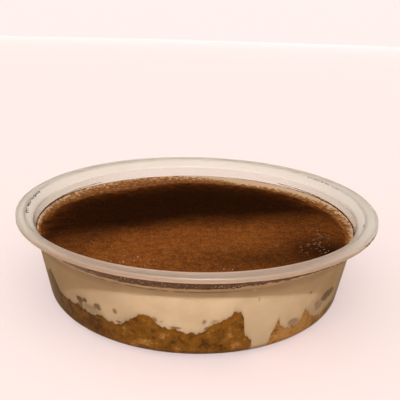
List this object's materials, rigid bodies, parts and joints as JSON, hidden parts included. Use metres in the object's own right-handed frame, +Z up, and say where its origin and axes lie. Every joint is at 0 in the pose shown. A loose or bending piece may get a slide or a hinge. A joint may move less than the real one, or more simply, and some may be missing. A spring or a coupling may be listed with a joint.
{
  "type": "tub of tiramisu",
  "caption": "Shallow round clear plastic tub with a snap-lid lip, filled with layers of soaked sponge and mascarpone cream under a coat of cocoa.",
  "frame": {"origin": "centre of the tub's base, on the surface it stands on", "axes": "+Z up along the tub's axis; -Y is the side seen as the front"},
  "size_m": [0.118, 0.118, 0.029],
  "materials": {
    "clear_plastic": "thin translucent polypropylene, slightly milky, glossy",
    "soaked_sponge": "coffee-soaked sponge, moist and crumbly",
    "mascarpone_cream": "thick soft cream, satin",
    "cocoa_powder": "sifted cocoa powder, dry and dull, damp in patches"
  },
  "bodies": {
    "root": {"tub": "clear_plastic", "sponge": "soaked_sponge", "cream": "mascarpone_cream", "cocoa": "cocoa_powder"}
  },
  "joints": []
}
